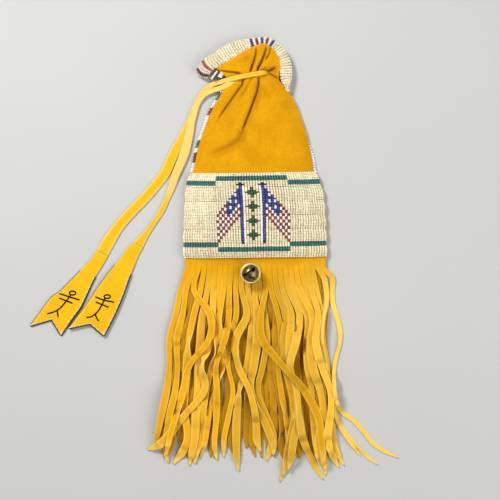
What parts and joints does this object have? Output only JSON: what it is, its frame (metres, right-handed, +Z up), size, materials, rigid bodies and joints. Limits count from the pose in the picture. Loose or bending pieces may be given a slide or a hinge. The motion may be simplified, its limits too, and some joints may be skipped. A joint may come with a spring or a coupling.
{
  "type": "beaded drawstring pouch",
  "caption": "Soft hide drawstring pouch with a lane-stitched beaded front panel, beaded mouth, long cut fringe, tabbed thong and a small jingle bell, lying on its back.",
  "frame": {"origin": "on the surface that the pouch lies on, under the middle of the beaded front panel", "axes": "+Y towards the cinched mouth, +X to the right seen from above, +Z up out of the beaded front"},
  "size_m": [0.3157, 0.3788, 0.0206],
  "materials": {
    "hide": "golden yellow dyed suede",
    "thong": "golden yellow suede, paler flesh side",
    "beads": "opaque cream, white, teal, blue and red glass seed beads",
    "edge_beads": "opaque dark and white glass seed beads",
    "brass": "aged, dull with worn bright edges",
    "steel": "plain shot"
  },
  "bodies": {
    "bag": {"pouch": "hide", "panel_lane_1": "beads", "panel_lane_2": "beads", "panel_lane_3": "beads", "panel_lane_4": "beads", "panel_lane_5": "beads", "panel_lane_6": "beads", "mouth_beading": "beads", "side_strip_left": "beads", "side_strip_right": "beads", "fringe_front": "hide", "fringe_back": "hide", "drawstring": "thong", "tab_edging_one": "edge_beads", "tab_edging_two": "edge_beads"},
    "tie": {"bell_tie": "thong"},
    "bell": {"bell_loop": "brass", "bell_back_shell": "brass", "bell_front_shell": "brass", "bell_pellet": "steel"}
  },
  "joints": [
    {"name": "bell_turn", "type": "hinge", "parent": "bag", "child": "tie", "pos_m": [-0.003, -0.0437, 0.0045], "axis": [0, 0, 1], "range_deg": [-30, 30]},
    {"name": "bell_rock", "type": "hinge", "parent": "tie", "child": "bell", "pos_m": [-0.003, -0.0485, 0.00707], "axis": [1, 0, 0], "range_deg": [-15, 15]}
  ]
}
